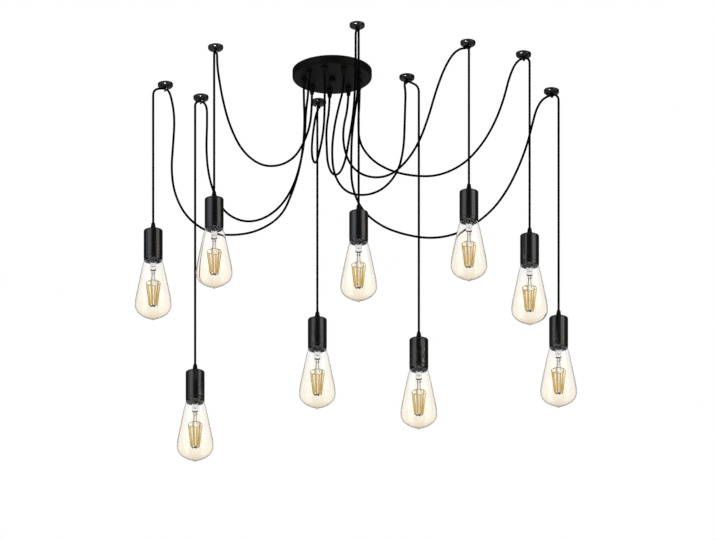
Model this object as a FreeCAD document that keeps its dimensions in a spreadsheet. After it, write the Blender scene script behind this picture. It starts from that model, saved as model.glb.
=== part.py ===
import FreeCAD, Part
import Sketcher
import math
import os

# Cluster pendant: nine lamps on long cords that leave one ceiling canopy, swag over
# nine ceiling hooks and hang straight down. Millimetres, +Z up. The origin is the
# centre of the canopy on the ceiling, +X to the right and +Y away from the viewer.

doc = FreeCAD.newDocument("cluster_pendant")
sheet = doc.addObject("Spreadsheet::Sheet", "sizes")

SIZES = {
    # canopy: a spun steel pan with a rolled lower edge
    "canopy_radius": 79.5,
    "canopy_height": 17.0,
    "canopy_wall": 1.2,
    "canopy_edge": 4.0,
    # ceiling bracket: a strap with two slots, a boss and a stud with a cap nut
    "strap_length": 112.0,
    "strap_width": 16.0,
    "strap_thick": 2.0,
    "slot_spacing": 70.0,
    "slot_length": 12.0,
    "slot_width": 4.6,
    "stud_radius": 3.0,
    "boss_radius": 6.0,
    "boss_height": 4.0,
    "knob_radius": 7.0,
    "knob_height": 9.0,
    "thread_play": 0.05,
    # cord grips: tapered, with a threaded shank and a lock nut
    "grip_ring_radius": 57.0,
    "grip_base": 6.5,
    "grip_tip": 4.3,
    "grip_length": 17.0,
    "grip_edge": 0.8,
    "grip_collar": 2.6,
    "grip_shank": 5.0,
    "nut_radius": 7.6,
    "nut_height": 3.0,
    # cords
    "cord_radius": 2.1,
    "cord_play": 0.15,
    "cord_bite": 5.0,
    "fit_play": 0.3,
    # terminal block inside the canopy
    "block_length": 62.0,
    "block_width": 12.0,
    "block_height": 8.0,
    "block_offset": 31.0,
    "lead_radius": 1.3,
    "lead_depth": 6.9,
    # ceiling hooks: a domed disc with a wire hook under it
    "disc_radius": 15.0,
    "disc_height": 8.5,
    "disc_rim": 2.5,
    "disc_flat": 8.0,
    "disc_dome": 12.0,
    "hook_wire": 1.5,
    "hook_bowl": 5.5,
    "hook_tip_angle": 48.0,
    "hook_bore": 2.1,
    "hook_bore_depth": 6.0,
    "apex_depth": 11.5,
    # socket cup, its holder and contacts
    "cup_radius": 19.0,
    "cup_wall": 1.0,
    "cup_height": 65.0,
    "cup_edge": 1.4,
    "cup_groove": 0.3,
    "cup_lip": 6.0,
    "holder_height": 46.0,
    "holder_recess": 9.0,
    "shell_wall": 0.45,
    "shell_flange": 6.0,
    "button_radius": 4.0,
    "button_thick": 1.5,
    "button_edge": 0.6,
    # bulb
    "bulb_length": 130.5,
    "bulb_radius": 36.5,
    "belly_height": 34.5,
    "shoulder_radius": 22.5,
    "shoulder_height": 115.2,
    "flank_radius": 34.2,
    "flank_height": 55.0,
    "hip_radius": 29.0,
    "hip_height": 17.5,
    "base_radius": 7.0,
    "base_height": 5.0,
    "nipple_radius": 3.4,
    "glass_wall": 0.9,
    "throat_radius": 13.3,
    "throat_rise": 8.0,
    "cap_radius": 13.2,
    "cap_height": 22.0,
    "cap_neck": 9.5,
    "tip_height": 5.0,
    "tip_radius": 4.5,
    "stem_radius": 6.5,
    "stem_length": 29.0,
    "rod_radius": 0.8,
    "filament_top": 15.5,
    "filament_foot": 9.0,
    "filament_drop": 48.0,
    "filament_span": 50.0,
    "filament_width": 2.6,
    "filament_thick": 0.9,
    "ring_thick": 1.0,
    # swing
    "swing_limit": 10.0,
    "swing_play": 0.45,
    "pivot_drop": 2.0,
}

# Each pendant: the canopy grip that its cord leaves (degrees round the canopy), its
# ceiling hook, the way the cord runs over the hook (degrees), how far before and
# beyond the hook it bends, how far out and how deep it turns to hang down, the depth
# of its socket cup below the ceiling, and the points of its swag, set by hand.
PENDANTS = [
    {"grip": 175, "hook": (-333.5, 63.4), "over": 210, "bend": 8.0, "reach": 28.2,
     "turn_depth": 27.0, "depth": 328.0,
     "swag": [(-55, 5, -104), (-58, 5, -155), (-65, 7, -206), (-80, 10, -257),
              (-106, 17, -306), (-148, 27, -337), (-200, 38, -345), (-249, 49, -332),
              (-289, 59, -293), (-314, 64, -243), (-321, 66, -188), (-318, 65, -132),
              (-315, 65, -80), (-322, 66, -42)]},
    {"grip": 215, "hook": (-262.3, 126.4), "over": 200, "bend": 12.5, "reach": 12.5,
     "turn_depth": 11.5, "depth": 605.0,
     "swag": [(-53, -28, -104), (-56, -26, -150), (-62, -21, -202), (-76, -10, -255),
              (-104, 13, -289), (-139, 41, -303), (-176, 71, -298), (-210, 98, -268),
              (-234, 118, -221), (-247, 128, -168), (-252, 131, -113), (-250, 131, -58)]},
    {"grip": 135, "hook": (-233.0, -122.4), "over": 240, "bend": 6.0, "reach": 6.0,
     "turn_depth": 11.5, "depth": 337.0,
     "swag": [(-45, 37, -104), (-56, 28, -146), (-75, 12, -187), (-106, -14, -218),
              (-143, -45, -225), (-177, -73, -206), (-203, -95, -165),
              (-218, -108, -116), (-227, -115, -70), (-229, -117, -38)]},
    {"grip": 255, "hook": (-27.1, 148.7), "over": 115, "bend": 6.0, "reach": 6.0,
     "turn_depth": 11.5, "depth": 476.0,
     "swag": [(-14, -50, -104), (-17, -36, -148), (-26, -2, -181), (-34, 42, -184),
              (-40, 83, -156), (-42, 112, -113), (-37, 131, -67), (-29, 141, -36)]},
    {"grip": 95, "hook": (50.0, -232.9), "over": -60, "bend": 6.0, "reach": 6.0,
     "turn_depth": 11.5, "depth": 415.0,
     "swag": [(-12, 52, -104), (-14, 42, -150), (-9, 20, -196), (2, -14, -233),
              (15, -55, -248), (29, -103, -241), (38, -148, -214), (43, -185, -171),
              (46, -211, -122), (47, -222, -77), (47, -226, -38)]},
    {"grip": 295, "hook": (149.5, 25.8), "over": 20, "bend": 6.0, "reach": 25.4,
     "turn_depth": 25.0, "depth": 573.0,
     "swag": [(16, -58, -104), (7, -64, -152), (2, -67, -204), (7, -63, -254),
              (28, -50, -286), (66, -25, -288), (103, -1, -258), (130, 16, -213),
              (142, 24, -161), (145, 24, -110), (143, 24, -66), (143, 24, -38)]},
    {"grip": 55, "hook": (271.5, -144.7), "over": -70, "bend": 6.0, "reach": 6.0,
     "turn_depth": 11.5, "depth": 331.0,
     "swag": [(23, 54, -104), (24, 53, -152), (41, 40, -197), (74, 14, -228),
              (113, -16, -236), (146, -42, -219), (173, -64, -184), (192, -79, -135),
              (208, -91, -86), (225, -105, -45), (243, -119, -20), (258, -130, -13)]},
    {"grip": 15, "hook": (382.7, -87.7), "over": -25, "bend": 13.5, "reach": 13.5,
     "turn_depth": 11.5, "depth": 402.0,
     "swag": [(52, 16, -104), (56, 15, -152), (77, 8, -197), (117, -4, -226),
              (164, -19, -243), (214, -34, -244), (263, -49, -224), (300, -61, -186),
              (326, -68, -140), (345, -74, -92), (360, -79, -47)]},
    {"grip": 335, "hook": (438.6, 95.1), "over": -30, "bend": 16.5, "reach": 16.5,
     "turn_depth": 11.5, "depth": 502.5,
     "swag": [(45, -26, -104), (38, -29, -158), (38, -29, -212), (43, -27, -264),
              (62, -21, -311), (98, -8, -342), (145, 8, -355), (196, 25, -357),
              (244, 41, -341), (286, 56, -311), (322, 68, -271), (350, 78, -224),
              (373, 86, -173), (389, 92, -121), (401, 96, -76), (411, 99, -38)]},
]
FIRST_TURN = -56.0
BEND_SHARE = 0.45
FILAMENTS = 6
GRIP_ANGLE = 15
# Terminal for each canopy grip, by its angle: x on the block, and the block's face.
TERMINALS = {15: (18, 1), 55: (8, 1), 95: (-8, 1), 135: (-14, 1), 175: (-20, 1),
             215: (-31, 0), 255: (-8, -1), 295: (10, -1), 335: (31, 0)}


class Size:
    """A length together with the sheet expression that gives it."""

    def __init__(self, value, text):
        self.value, self.text = value, text

    def __add__(self, other):
        return Size(self.value + size(other).value, f"({self.text} + {size(other).text})")

    def __sub__(self, other):
        return Size(self.value - size(other).value, f"({self.text} - {size(other).text})")

    def __mul__(self, other):
        return Size(self.value * size(other).value, f"({self.text} * {size(other).text})")

    def __truediv__(self, other):
        return Size(self.value / size(other).value, f"({self.text} / {size(other).text})")


def size(what):
    """A named cell of the sheet, or a plain number, as a Size."""
    if isinstance(what, Size):
        return what
    if isinstance(what, str):
        return Size(float(sheet.get(what)), f"sizes.{what}")
    return Size(float(what), f"({what:g})")


def fill_sheet():
    cells = dict(SIZES)
    for number, pendant in enumerate(PENDANTS, 1):
        cells[f"hook_x_{number}"], cells[f"hook_y_{number}"] = pendant["hook"]
        for name in ("grip", "over", "bend", "reach", "turn_depth", "depth"):
            cells[f"{name}_{number}"] = pendant[name]
    for row, (name, value) in enumerate(cells.items(), 1):
        sheet.set(f"A{row}", name.replace("_", " "))
        sheet.set(f"B{row}", f"{value:g}")
        sheet.setAlias(f"B{row}", name)
    doc.recompute()


def polar(radius, angle):
    """The X and Y of a point at a radius and an angle in degrees."""
    turn = math.radians(size(angle).value)
    text = f"{size(angle).text} * 1 deg"
    return (size(radius) * Size(math.cos(turn), f"cos({text})"),
            size(radius) * Size(math.sin(turn), f"sin({text})"))


def place(thing, x=0, y=0, z=0, angle=None):
    """Binds a place to the sheet; angle is a turn in degrees about +Z."""
    for axis, where in zip("xyz", (x, y, z)):
        thing.setExpression(f"Placement.Base.{axis}", size(where).text)
    if angle is not None:
        thing.setExpression("Placement.Rotation.Angle", size(angle).text)
    return thing


def bind(thing, **values):
    for name, value in values.items():
        thing.setExpression(name, size(value).text)
    return thing


def origin_part(body, role):
    return next(f for f in body.Origin.OriginFeatures if f.Role == role)


def new_sketch(body, role, name):
    sketch = body.newObject("Sketcher::SketchObject", name)
    sketch.AttachmentSupport = [(origin_part(body, role), "")]
    sketch.MapMode = "FlatFace"
    return sketch


def pin(sketch, edge, end, across, up):
    """Ties one end of an edge to its two distances from the sketch's origin."""
    for kind, axis, distance in (("DistanceX", -2, across), ("DistanceY", -1, up)):
        if distance is None:
            continue
        if size(distance).value == 0:
            sketch.addConstraint(Sketcher.Constraint("PointOnObject", edge, end, axis))
        else:
            at = sketch.addConstraint(
                Sketcher.Constraint(kind, -1, 1, edge, end, size(distance).value))
            sketch.setExpression(f"Constraints[{at}]", size(distance).text)


def bulged(start, end, radius):
    """An arc of that radius that bulges to the right of the way, or left if negative."""
    along = end - start
    half = along.Length / 2
    rise = abs(radius) - math.sqrt(max(radius**2 - half**2, 0))
    right = FreeCAD.Vector(along.y, -along.x, 0).normalize()
    side = 1 if radius > 0 else -1
    return Part.Arc(start, (start + end) * 0.5 + right * (rise * side), end)


def corner(x, y, arc=None, drawn=None, smooth=False):
    """A corner reached along a straight edge, along an arc of the size arc, or along
    one drawn near the radius drawn, which smooth corners settle by tangency."""
    return {"x": x, "y": y, "arc": arc, "drawn": drawn, "smooth": smooth}


def draw_outline(sketch, corners, guess=None):
    """A closed outline through corners, each pinned to the sheet's sizes."""
    spots = [FreeCAD.Vector(size(c["x"]).value,
                            guess if c["y"] is None else size(c["y"]).value, 0)
             for c in corners]
    first, count, ends = sketch.GeometryCount, len(corners), []
    for k in range(count):
        start, end, goal = spots[k], spots[(k + 1) % count], corners[(k + 1) % count]
        radius = goal["drawn"] or (goal["arc"] and size(goal["arc"]).value)
        edge = sketch.addGeometry(
            bulged(start, end, radius) if radius else Part.LineSegment(start, end))
        flipped = (sketch.getPoint(edge, 1) - start).Length > 1e-6
        ends.append((2, 1) if flipped else (1, 2))
    for k in range(count):
        edge, after, goal = first + k, first + (k + 1) % count, corners[(k + 1) % count]
        kind = "Tangent" if goal["smooth"] else "Coincident"
        sketch.addConstraint(Sketcher.Constraint(
            kind, edge, ends[k][1], after, ends[(k + 1) % count][0]))
        pin(sketch, edge, ends[k][1], goal["x"], goal["y"])
        if goal["arc"] is not None:
            at = sketch.addConstraint(
                Sketcher.Constraint("Radius", edge, size(goal["arc"]).value))
            sketch.setExpression(f"Constraints[{at}]", size(goal["arc"]).text)
    return first


def turned(name, corners, guess=None, centred=None):
    """A body turned about its own Z from an outline of radius and height."""
    body = doc.addObject("PartDesign::Body", name)
    sketch = new_sketch(body, "XZ_Plane", f"{name}_profile")
    first = draw_outline(sketch, corners, guess)
    if centred is not None:
        sketch.addConstraint(Sketcher.Constraint("PointOnObject", first + centred, 3, -2))
    turn = body.newObject("PartDesign::Revolution", f"{name}_turned")
    turn.Profile = sketch
    turn.ReferenceAxis = (sketch, ["V_Axis"])
    turn.Angle = 360.0
    sketch.Visibility = False
    doc.recompute()
    return body


def circle_sketch(body, role, name, radius, across, up):
    sketch = new_sketch(body, role, name)
    spot = FreeCAD.Vector(size(across).value, size(up).value, 0)
    edge = sketch.addGeometry(
        Part.Circle(spot, FreeCAD.Vector(0, 0, 1), size(radius).value))
    at = sketch.addConstraint(Sketcher.Constraint("Radius", edge, size(radius).value))
    sketch.setExpression(f"Constraints[{at}]", size(radius).text)
    pin(sketch, edge, 3, across, up)
    return sketch


def cut_through(body, sketch, name):
    """A pocket both ways through the body; the volume must fall."""
    before = body.Shape.Volume
    pocket = body.newObject("PartDesign::Pocket", name)
    pocket.Profile = sketch
    pocket.Type = "ThroughAll"
    pocket.Midplane = True
    sketch.Visibility = False
    doc.recompute()
    assert pocket.Shape.Volume < before - 0.1, f"{name} cuts nothing"
    return pocket


def repeat_round(body, feature, count, name):
    """Repeats a feature of a body round its Z axis."""
    pattern = body.newObject("PartDesign::PolarPattern", name)
    pattern.Originals = [feature]
    pattern.Axis = (origin_part(body, "Z_Axis"), [""])
    pattern.Angle = 360.0
    pattern.Occurrences = count
    body.Tip = pattern
    doc.recompute()
    return pattern


def rod(name, radius, height):
    return bind(doc.addObject("Part::Cylinder", name), Radius=radius, Height=height)


def group(name, links, label=None):
    """Several solids of one node."""
    thing = doc.addObject("Part::Compound", name)
    thing.Links = links
    thing.Label = label or name
    return thing


def canopy_cover():
    radius, wall, edge = size("canopy_radius"), size("canopy_wall"), size("canopy_edge")
    height = size("canopy_height")
    hole = size("stud_radius") + "fit_play"
    body = turned("canopy_cover", [
        corner(hole, 0), corner(radius - edge, 0), corner(radius, edge, arc=edge),
        corner(radius, height), corner(radius - wall, height), corner(radius - wall, edge),
        corner(radius - edge, wall, drawn=-(edge - wall).value, arc=edge - wall),
        corner(hole, wall)])
    x, y = polar("grip_ring_radius", GRIP_ANGLE)
    sketch = circle_sketch(body, "XY_Plane", "grip_hole",
                           size("grip_shank") + "cord_play", x, y)
    repeat_round(body, cut_through(body, sketch, "grip_opening"), len(PENDANTS), "grip_holes")
    return place(body, z=height * -1)


def ceiling_bracket():
    strap = doc.addObject("Part::Box", "strap")
    bind(strap, Length="strap_length", Width="strap_width", Height="strap_thick")
    place(strap, size("strap_length") / -2, size("strap_width") / -2, size("strap_thick") * -1)
    doc.recompute()
    corners = doc.addObject("Part::Fillet", "strap_corners")
    corners.Base = strap
    uprights = [k for k, e in enumerate(strap.Shape.Edges, 1)
                if abs(e.tangentAt(e.FirstParameter).z) > 0.9]
    corners.Edges = [(k, 3.0, 3.0) for k in uprights]
    boss = place(rod("boss", "boss_radius", size("boss_height") + size("strap_thick") / 2),
                 z=(size("strap_thick") + "boss_height") * -1)
    whole = doc.addObject("Part::Fuse", "strap_and_boss")
    whole.Base, whole.Tool = corners, boss
    deep = size("strap_thick") + "boss_height" + 2
    foot = deep * -1 + 1
    run = size("slot_length") - "slot_width"
    cuts = [place(rod("stud_thread", size("stud_radius") + "thread_play", deep), z=foot)]
    for side in (-1, 1):
        middle = size("slot_spacing") / 2 * side
        name = "left" if side < 0 else "right"
        slot = doc.addObject("Part::Box", f"{name}_slot")
        bind(slot, Length=run, Width="slot_width", Height=deep)
        cuts.append(place(slot, middle - run / 2, size("slot_width") / -2, foot))
        for end in (-1, 1):
            round_end = rod(f"{name}_slot_end_{1 if end > 0 else 2}",
                            size("slot_width") / 2, deep)
            cuts.append(place(round_end, middle + run / 2 * end, 0, foot))
    tools = doc.addObject("Part::MultiFuse", "bracket_cuts")
    tools.Shapes = cuts
    bracket = doc.addObject("Part::Cut", "ceiling_bracket")
    bracket.Base, bracket.Tool = whole, tools
    return bracket


def canopy_knob():
    """The stud down from the bracket and the round cap nut under the canopy."""
    radius, tall = size("knob_radius"), size("knob_height")
    thread = size("stud_radius") + "thread_play"
    bore = tall - 2.5
    nut = turned("cap_nut", [
        corner(0, 0), corner(radius, tall - bore + 2, drawn=9.0, arc=size("knob_height")),
        corner(radius, tall), corner(thread, tall), corner(thread, tall - bore),
        corner(0, tall - bore)])
    place(nut, z=(size("canopy_height") + tall) * -1)
    stud = rod("stud", "stud_radius", size("canopy_height") + bore - 1 - 0.5)
    place(stud, z=(size("canopy_height") + bore - 0.5) * -1)
    return group("canopy_knob", [nut, stud])


def cord_grip(name, shank):
    """A tapered cord grip on a threaded shank."""
    base, tip, length = size("grip_base"), size("grip_tip"), size("grip_length")
    bore, inner = size("cord_radius") + "cord_play", size("grip_shank")
    edge, collar = size("grip_edge"), length - "grip_collar"
    return turned(name, [
        corner(bore, 0), corner(tip - edge, 0), corner(tip, edge),
        corner(base - edge, collar - edge), corner(base, collar), corner(base, length),
        corner(inner, length), corner(inner, length + shank), corner(bore, length + shank)])


def hex_nut():
    blank = doc.addObject("Part::Prism", "nut_blank")
    blank.Polygon = 6
    bind(blank, Circumradius="nut_radius", Height="nut_height")
    thread = place(rod("nut_thread", size("grip_shank") + "thread_play",
                       size("nut_height") + 2), z=-1)
    nut = doc.addObject("Part::Cut", "lock_nut")
    nut.Base, nut.Tool = blank, thread
    return place(nut, z=size("grip_length") + "canopy_wall")


def cord_grips():
    reach = size("canopy_wall") + "nut_height" + 1.8
    pair = [cord_grip("canopy_grip", reach), hex_nut()]
    grips = []
    for number in range(1, len(PENDANTS) + 1):
        x, y = polar("grip_ring_radius", f"grip_{number}")
        grip = group(f"grip_at_{number}", pair)
        grips.append(place(grip, x, y, (size("canopy_height") + "grip_length") * -1,
                           angle=f"grip_{number}"))
    return group("cord_grips", grips)


def hexagon(radius, at, along, sides):
    """A closed regular outline across a path at its first point."""
    across = along.cross(FreeCAD.Vector(0.31, 0.95, 0.05)).normalize()
    up = along.cross(across).normalize()
    spots = [at + across * (radius * math.cos(2 * math.pi * (k + 0.5) / sides))
             + up * (radius * math.sin(2 * math.pi * (k + 0.5) / sides))
             for k in range(sides)]
    return Part.makePolygon(spots + spots[:1])


def rounded_path(points, tangents):
    """Straight runs joined by tangent arcs, with the arcs' radii."""
    edges, radii, start = [], [], points[0]
    for k in range(1, len(points) - 1):
        before = (points[k - 1] - points[k]).normalize()
        after = (points[k + 1] - points[k]).normalize()
        a, b = points[k] + before * tangents[k], points[k] + after * tangents[k]
        half_turn = (math.pi - before.getAngle(after)) / 2
        radius = tangents[k] / math.tan(half_turn)
        inward = (before + after).normalize()
        centre = points[k] + inward * (radius / math.cos(half_turn))
        edges.append(Part.LineSegment(start, a).toShape())
        edges.append(Part.Arc(a, centre - inward * radius, b).toShape())
        radii.append(radius)
        start = b
    edges.append(Part.LineSegment(start, points[-1]).toShape())
    return Part.Wire(edges), radii


def tube(path, radius, sides):
    first = path.Edges[0]
    at = first.valueAt(first.FirstParameter)
    along = first.tangentAt(first.FirstParameter)
    solid = path.makePipeShell([hexagon(radius, at, along, sides)], True, False)
    section = 0.5 * sides * radius**2 * math.sin(2 * math.pi / sides)
    share = solid.Volume / (section * path.Length)
    assert solid.isValid() and abs(share - 1) < 0.01, f"tube volume {share:.4f}"
    return solid


def shares(points, stated=None):
    """Tangent lengths at a path's corners: a share of the shorter run, or stated."""
    runs = [(b - a).Length for a, b in zip(points, points[1:])]
    found = {k: BEND_SHARE * min(runs[k - 1], runs[k]) for k in range(1, len(points) - 1)}
    found.update(stated or {})
    return found


def canopy_wiring():
    """The terminal block on the bracket's far side and a lead pair from each cord."""
    block = doc.addObject("Part::Box", "terminal_block")
    bind(block, Length="block_length", Width="block_width", Height="block_height")
    place(block, size("block_length") / -2, size("block_offset") * -1 - size("block_width") / 2,
          (size("strap_thick") * 2 + "block_height") * -1)
    doc.recompute()
    solids = []
    for pendant in PENDANTS:
        x, y = (c.value for c in polar("grip_ring_radius", pendant["grip"]))
        port_x, face = TERMINALS[pendant["grip"]]
        port_y = -size("block_offset").value + face * (size("block_width").value / 2 - 2)
        top = -(size("lead_depth").value)
        tail = -(size("canopy_height").value - size("cord_bite").value - 1.5)
        points = [FreeCAD.Vector(x, y, tail), FreeCAD.Vector(x, y, top),
                  FreeCAD.Vector(port_x, port_y, top)]
        path, _ = rounded_path(points, shares(points))
        solids.append(tube(path, size("lead_radius").value, 6).cut(block.Shape))
    leads = doc.addObject("Part::Feature", "lead_pairs")
    leads.Shape = Part.makeCompound(solids)
    return group("canopy_wiring", [block, leads])


def ceiling_hooks():
    """Nine domed discs, each with a screw bore above and a wire hook below."""
    radius, tall, flat = size("disc_radius"), size("disc_height"), size("disc_flat")
    floor = tall - "hook_bore_depth"
    disc = turned("hook_disc", [
        corner(0, 0), corner(flat, 0), corner(radius, tall - "disc_rim", arc="disc_dome"),
        corner(radius, tall), corner("hook_bore", tall), corner("hook_bore", floor),
        corner(0, floor)])
    wire, bowl = size("hook_wire").value, size("hook_bowl").value
    drop = size("apex_depth").value - tall.value
    low = drop + size("cord_radius").value + size("fit_play").value + wire
    centre = FreeCAD.Vector(0, 0, bowl - low)
    lip = math.radians(size("hook_tip_angle").value)
    start = FreeCAD.Vector(0, bowl, 1.0)
    side = FreeCAD.Vector(0, bowl, centre.z)
    tip = centre + FreeCAD.Vector(0, -bowl * math.cos(lip), -bowl * math.sin(lip))
    bottom = centre + FreeCAD.Vector(0, 0, -bowl)
    path = Part.Wire([Part.LineSegment(start, side).toShape(),
                      Part.Arc(side, bottom, tip).toShape()])
    rim = Part.Wire([Part.makeCircle(wire, start, FreeCAD.Vector(0, 0, -1))])
    bent = doc.addObject("Part::Feature", "hook_wire_form")
    bent.Shape = path.makePipeShell([rim], True, False)
    hook = doc.addObject("Part::Fuse", "hook")
    hook.Base, hook.Tool = disc, bent
    hooks = []
    for number in range(1, len(PENDANTS) + 1):
        copy = group(f"hook_at_{number}", [hook])
        hooks.append(place(copy, f"hook_x_{number}", f"hook_y_{number}", tall * -1,
                           angle=f"over_{number}"))
    return group("ceiling_hooks", hooks)


def hang_point(number):
    """Where a pendant's cord turns down: X, Y, and the depth of its swing pivot."""
    ahead = polar(f"reach_{number}", f"over_{number}")
    x, y = size(f"hook_x_{number}") + ahead[0], size(f"hook_y_{number}") + ahead[1]
    reach, bend = size(f"reach_{number}"), size(f"bend_{number}")
    if reach.value == bend.value:
        bow = bend * (2 * BEND_SHARE)
    else:
        fall = size(f"turn_depth_{number}").value - size("apex_depth").value
        bow = size(BEND_SHARE * math.hypot(reach.value - bend.value, fall))
    return x, y, size(f"turn_depth_{number}") + bow + "pivot_drop"


def swag_cord(number, pendant):
    x, y = (c.value for c in polar("grip_ring_radius", f"grip_{number}"))
    tail = -(size("canopy_height").value - size("cord_bite").value - 1.5)
    hook_x, hook_y = pendant["hook"]
    ahead = [c.value for c in polar(1, pendant["over"])]
    bend, apex = pendant["bend"], -size("apex_depth").value
    route = [(x, y, tail), (x, y, FIRST_TURN)] + pendant["swag"]
    for along in (-bend, bend):
        route.append((hook_x + ahead[0] * along, hook_y + ahead[1] * along, apex))
    end_x, end_y, depth = (c.value for c in hang_point(number))
    if pendant["reach"] != bend:
        route.append((end_x, end_y, -pendant["turn_depth"]))
    route.append((end_x, end_y, -depth))
    points = [FreeCAD.Vector(*spot) for spot in route]
    turn = len(points) - 2
    stated = {turn: depth - pendant["turn_depth"] - size("pivot_drop").value}
    path, radii = rounded_path(points, shares(points, stated))
    cord = doc.addObject("Part::Feature", f"swag_cord_{number}")
    cord.Shape = tube(path, size("cord_radius").value, 8)
    print(f"swag_cord_{number}: {path.Length:.1f} mm, radii",
          " ".join(f"{r:.0f}" for r in radii))
    return cord


def drop_cord(number):
    x, y, pivot = hang_point(number)
    foot = size(f"depth_{number}") + "cup_height" - "holder_recess" - "holder_height" + "cord_bite"
    cord = doc.addObject("Part::Prism", f"drop_cord_{number}")
    cord.Polygon = 8
    bind(cord, Circumradius="cord_radius", Height=foot - pivot - "swing_play")
    return place(cord, x, y, foot * -1)


def socket_cup_form():
    """The spun cup: open below, with a rounded top and a lip line round its mouth."""
    radius, wall, edge = size("cup_radius"), size("cup_wall"), size("cup_edge")
    tall, nick, lip = size("cup_height"), size("cup_groove"), size("cup_lip")
    hole = size("grip_shank") + "thread_play"
    inner = radius - wall
    return turned("cup_shell", [
        corner(inner, 0), corner(radius - nick, 0), corner(radius - nick, lip),
        corner(radius, lip + nick), corner(radius, tall - edge),
        corner(radius - edge, tall), corner(hole, tall),
        corner(hole, tall - wall), corner(inner, tall - wall)])


def lamp_holder_form():
    """The insulating body with its bridge, the screw shell and the centre contact."""
    low, tall = size("holder_recess"), size("holder_height")
    outer = size("cup_radius") - size("cup_wall") - "fit_play"
    inner = size("cap_radius") + "fit_play" + "shell_wall"
    contact = size("cap_height") + "throat_rise" + "tip_height" + "fit_play"
    floor = contact + "button_thick"
    hole, button, top = size("cord_radius") + "cord_play", size("button_radius"), floor + "button_thick"
    body = turned("holder_body", [
        corner(inner, low), corner(outer - 1, low), corner(outer, low + 1),
        corner(outer, low + tall), corner(hole, low + tall),
        corner(hole, low + tall - 9), corner("button_radius", low + tall - 11),
        corner("button_radius", floor), corner(inner, floor)])
    shell = turned("screw_shell", [
        corner(inner - "shell_wall", low + 1), corner(inner, low + 1),
        corner(inner, floor), corner("shell_flange", floor),
        corner("shell_flange", floor - "shell_wall"),
        corner(inner - "shell_wall", floor - "shell_wall")])
    button = turned("centre_contact", [
        corner(0, contact), corner(button - "button_edge", contact),
        corner(button, contact + "button_edge"), corner(button, top), corner(0, top)])
    return [body, shell, button]


def bulb_glass_form():
    """The blown envelope: a straight flared flank, a full belly and a drawn tip."""
    top = size("bulb_length") + "throat_rise"
    body = turned("bulb_envelope", [
        corner(0, top), corner(0, 0),
        corner("nipple_radius", None, drawn=3.9, smooth=True),
        corner("base_radius", "base_height", drawn=-6.5, smooth=True),
        corner("hip_radius", "hip_height", drawn=66, smooth=True),
        corner("bulb_radius", "belly_height", drawn=21.5, smooth=True),
        corner("flank_radius", "flank_height", drawn=128, smooth=True),
        corner("shoulder_radius", "shoulder_height", smooth=True),
        corner("throat_radius", top, drawn=69)], guess=2.0, centred=1)
    mouth = next(k for k, f in enumerate(body.Shape.Faces, 1)
                 if abs(f.BoundBox.ZMin - top.value) < 0.01)
    hollow = doc.addObject("Part::Thickness", "bulb_wall")
    hollow.Faces = (body, [f"Face{mouth}"])
    bind(hollow, Value=size("glass_wall") * -1)
    doc.recompute()
    return hollow


def bulb_core_form():
    """The screw cap with its contact, and the stem that carries the filament cage."""
    mouth, rise, tall = size("bulb_length"), size("throat_rise"), size("cap_height")
    cap, neck = size("cap_radius"), size("cap_neck")
    low, high = mouth + rise, mouth + rise + tall
    tip = high + "tip_height"
    screw = turned("bulb_cap", [
        corner(0, low), corner(cap, low), corner(cap, high - 3), corner(neck, high),
        corner("tip_radius", tip - 1.5), corner(size("tip_radius") - 1, tip), corner(0, tip)])
    stem, ring = size("stem_radius"), size("filament_top")
    down = mouth - "stem_length"
    ring_at = mouth - "filament_drop"
    foot, foot_at = size("filament_foot"), mouth - "filament_drop" - "filament_span"
    rod_size, strip, thick = size("rod_radius"), size("filament_thick"), size("ring_thick")
    body = turned("filament_mount", [
        corner(0, foot_at - thick), corner(foot + strip, foot_at - thick),
        corner(foot + strip, foot_at), corner(rod_size, foot_at), corner(rod_size, down),
        corner(stem * 0.55, down + size("stem_length") * 0.14),
        corner(stem * 0.55, down + size("stem_length") * 0.45),
        corner(stem, down + size("stem_length") * 0.7), corner(stem, low), corner(0, low)])
    lean = new_sketch(body, "XZ_Plane", "filament_outline")
    start, end = foot_at - thick / 2, ring_at - thick / 2
    draw_outline(lean, [corner(foot - strip / 2, start), corner(foot + strip / 2, start),
                        corner(ring + strip / 2, end), corner(ring - strip / 2, end)])
    strips = body.newObject("PartDesign::Pad", "filament")
    strips.Profile = lean
    strips.Midplane = True
    bind(strips, Length="filament_width")
    lean.Visibility = False
    doc.recompute()
    repeat_round(body, strips, FILAMENTS, "filaments")
    band = new_sketch(body, "XZ_Plane", "ring_outline")
    draw_outline(band, [corner(ring - strip, ring_at - thick), corner(ring + strip, ring_at - thick),
                        corner(ring + strip, ring_at), corner(ring - strip, ring_at)])
    hoop = body.newObject("PartDesign::Revolution", "filament_ring")
    hoop.Profile = band
    hoop.ReferenceAxis = (band, ["V_Axis"])
    hoop.Angle = 360.0
    band.Visibility = False
    body.Tip = hoop
    doc.recompute()
    return [screw, body]


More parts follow.
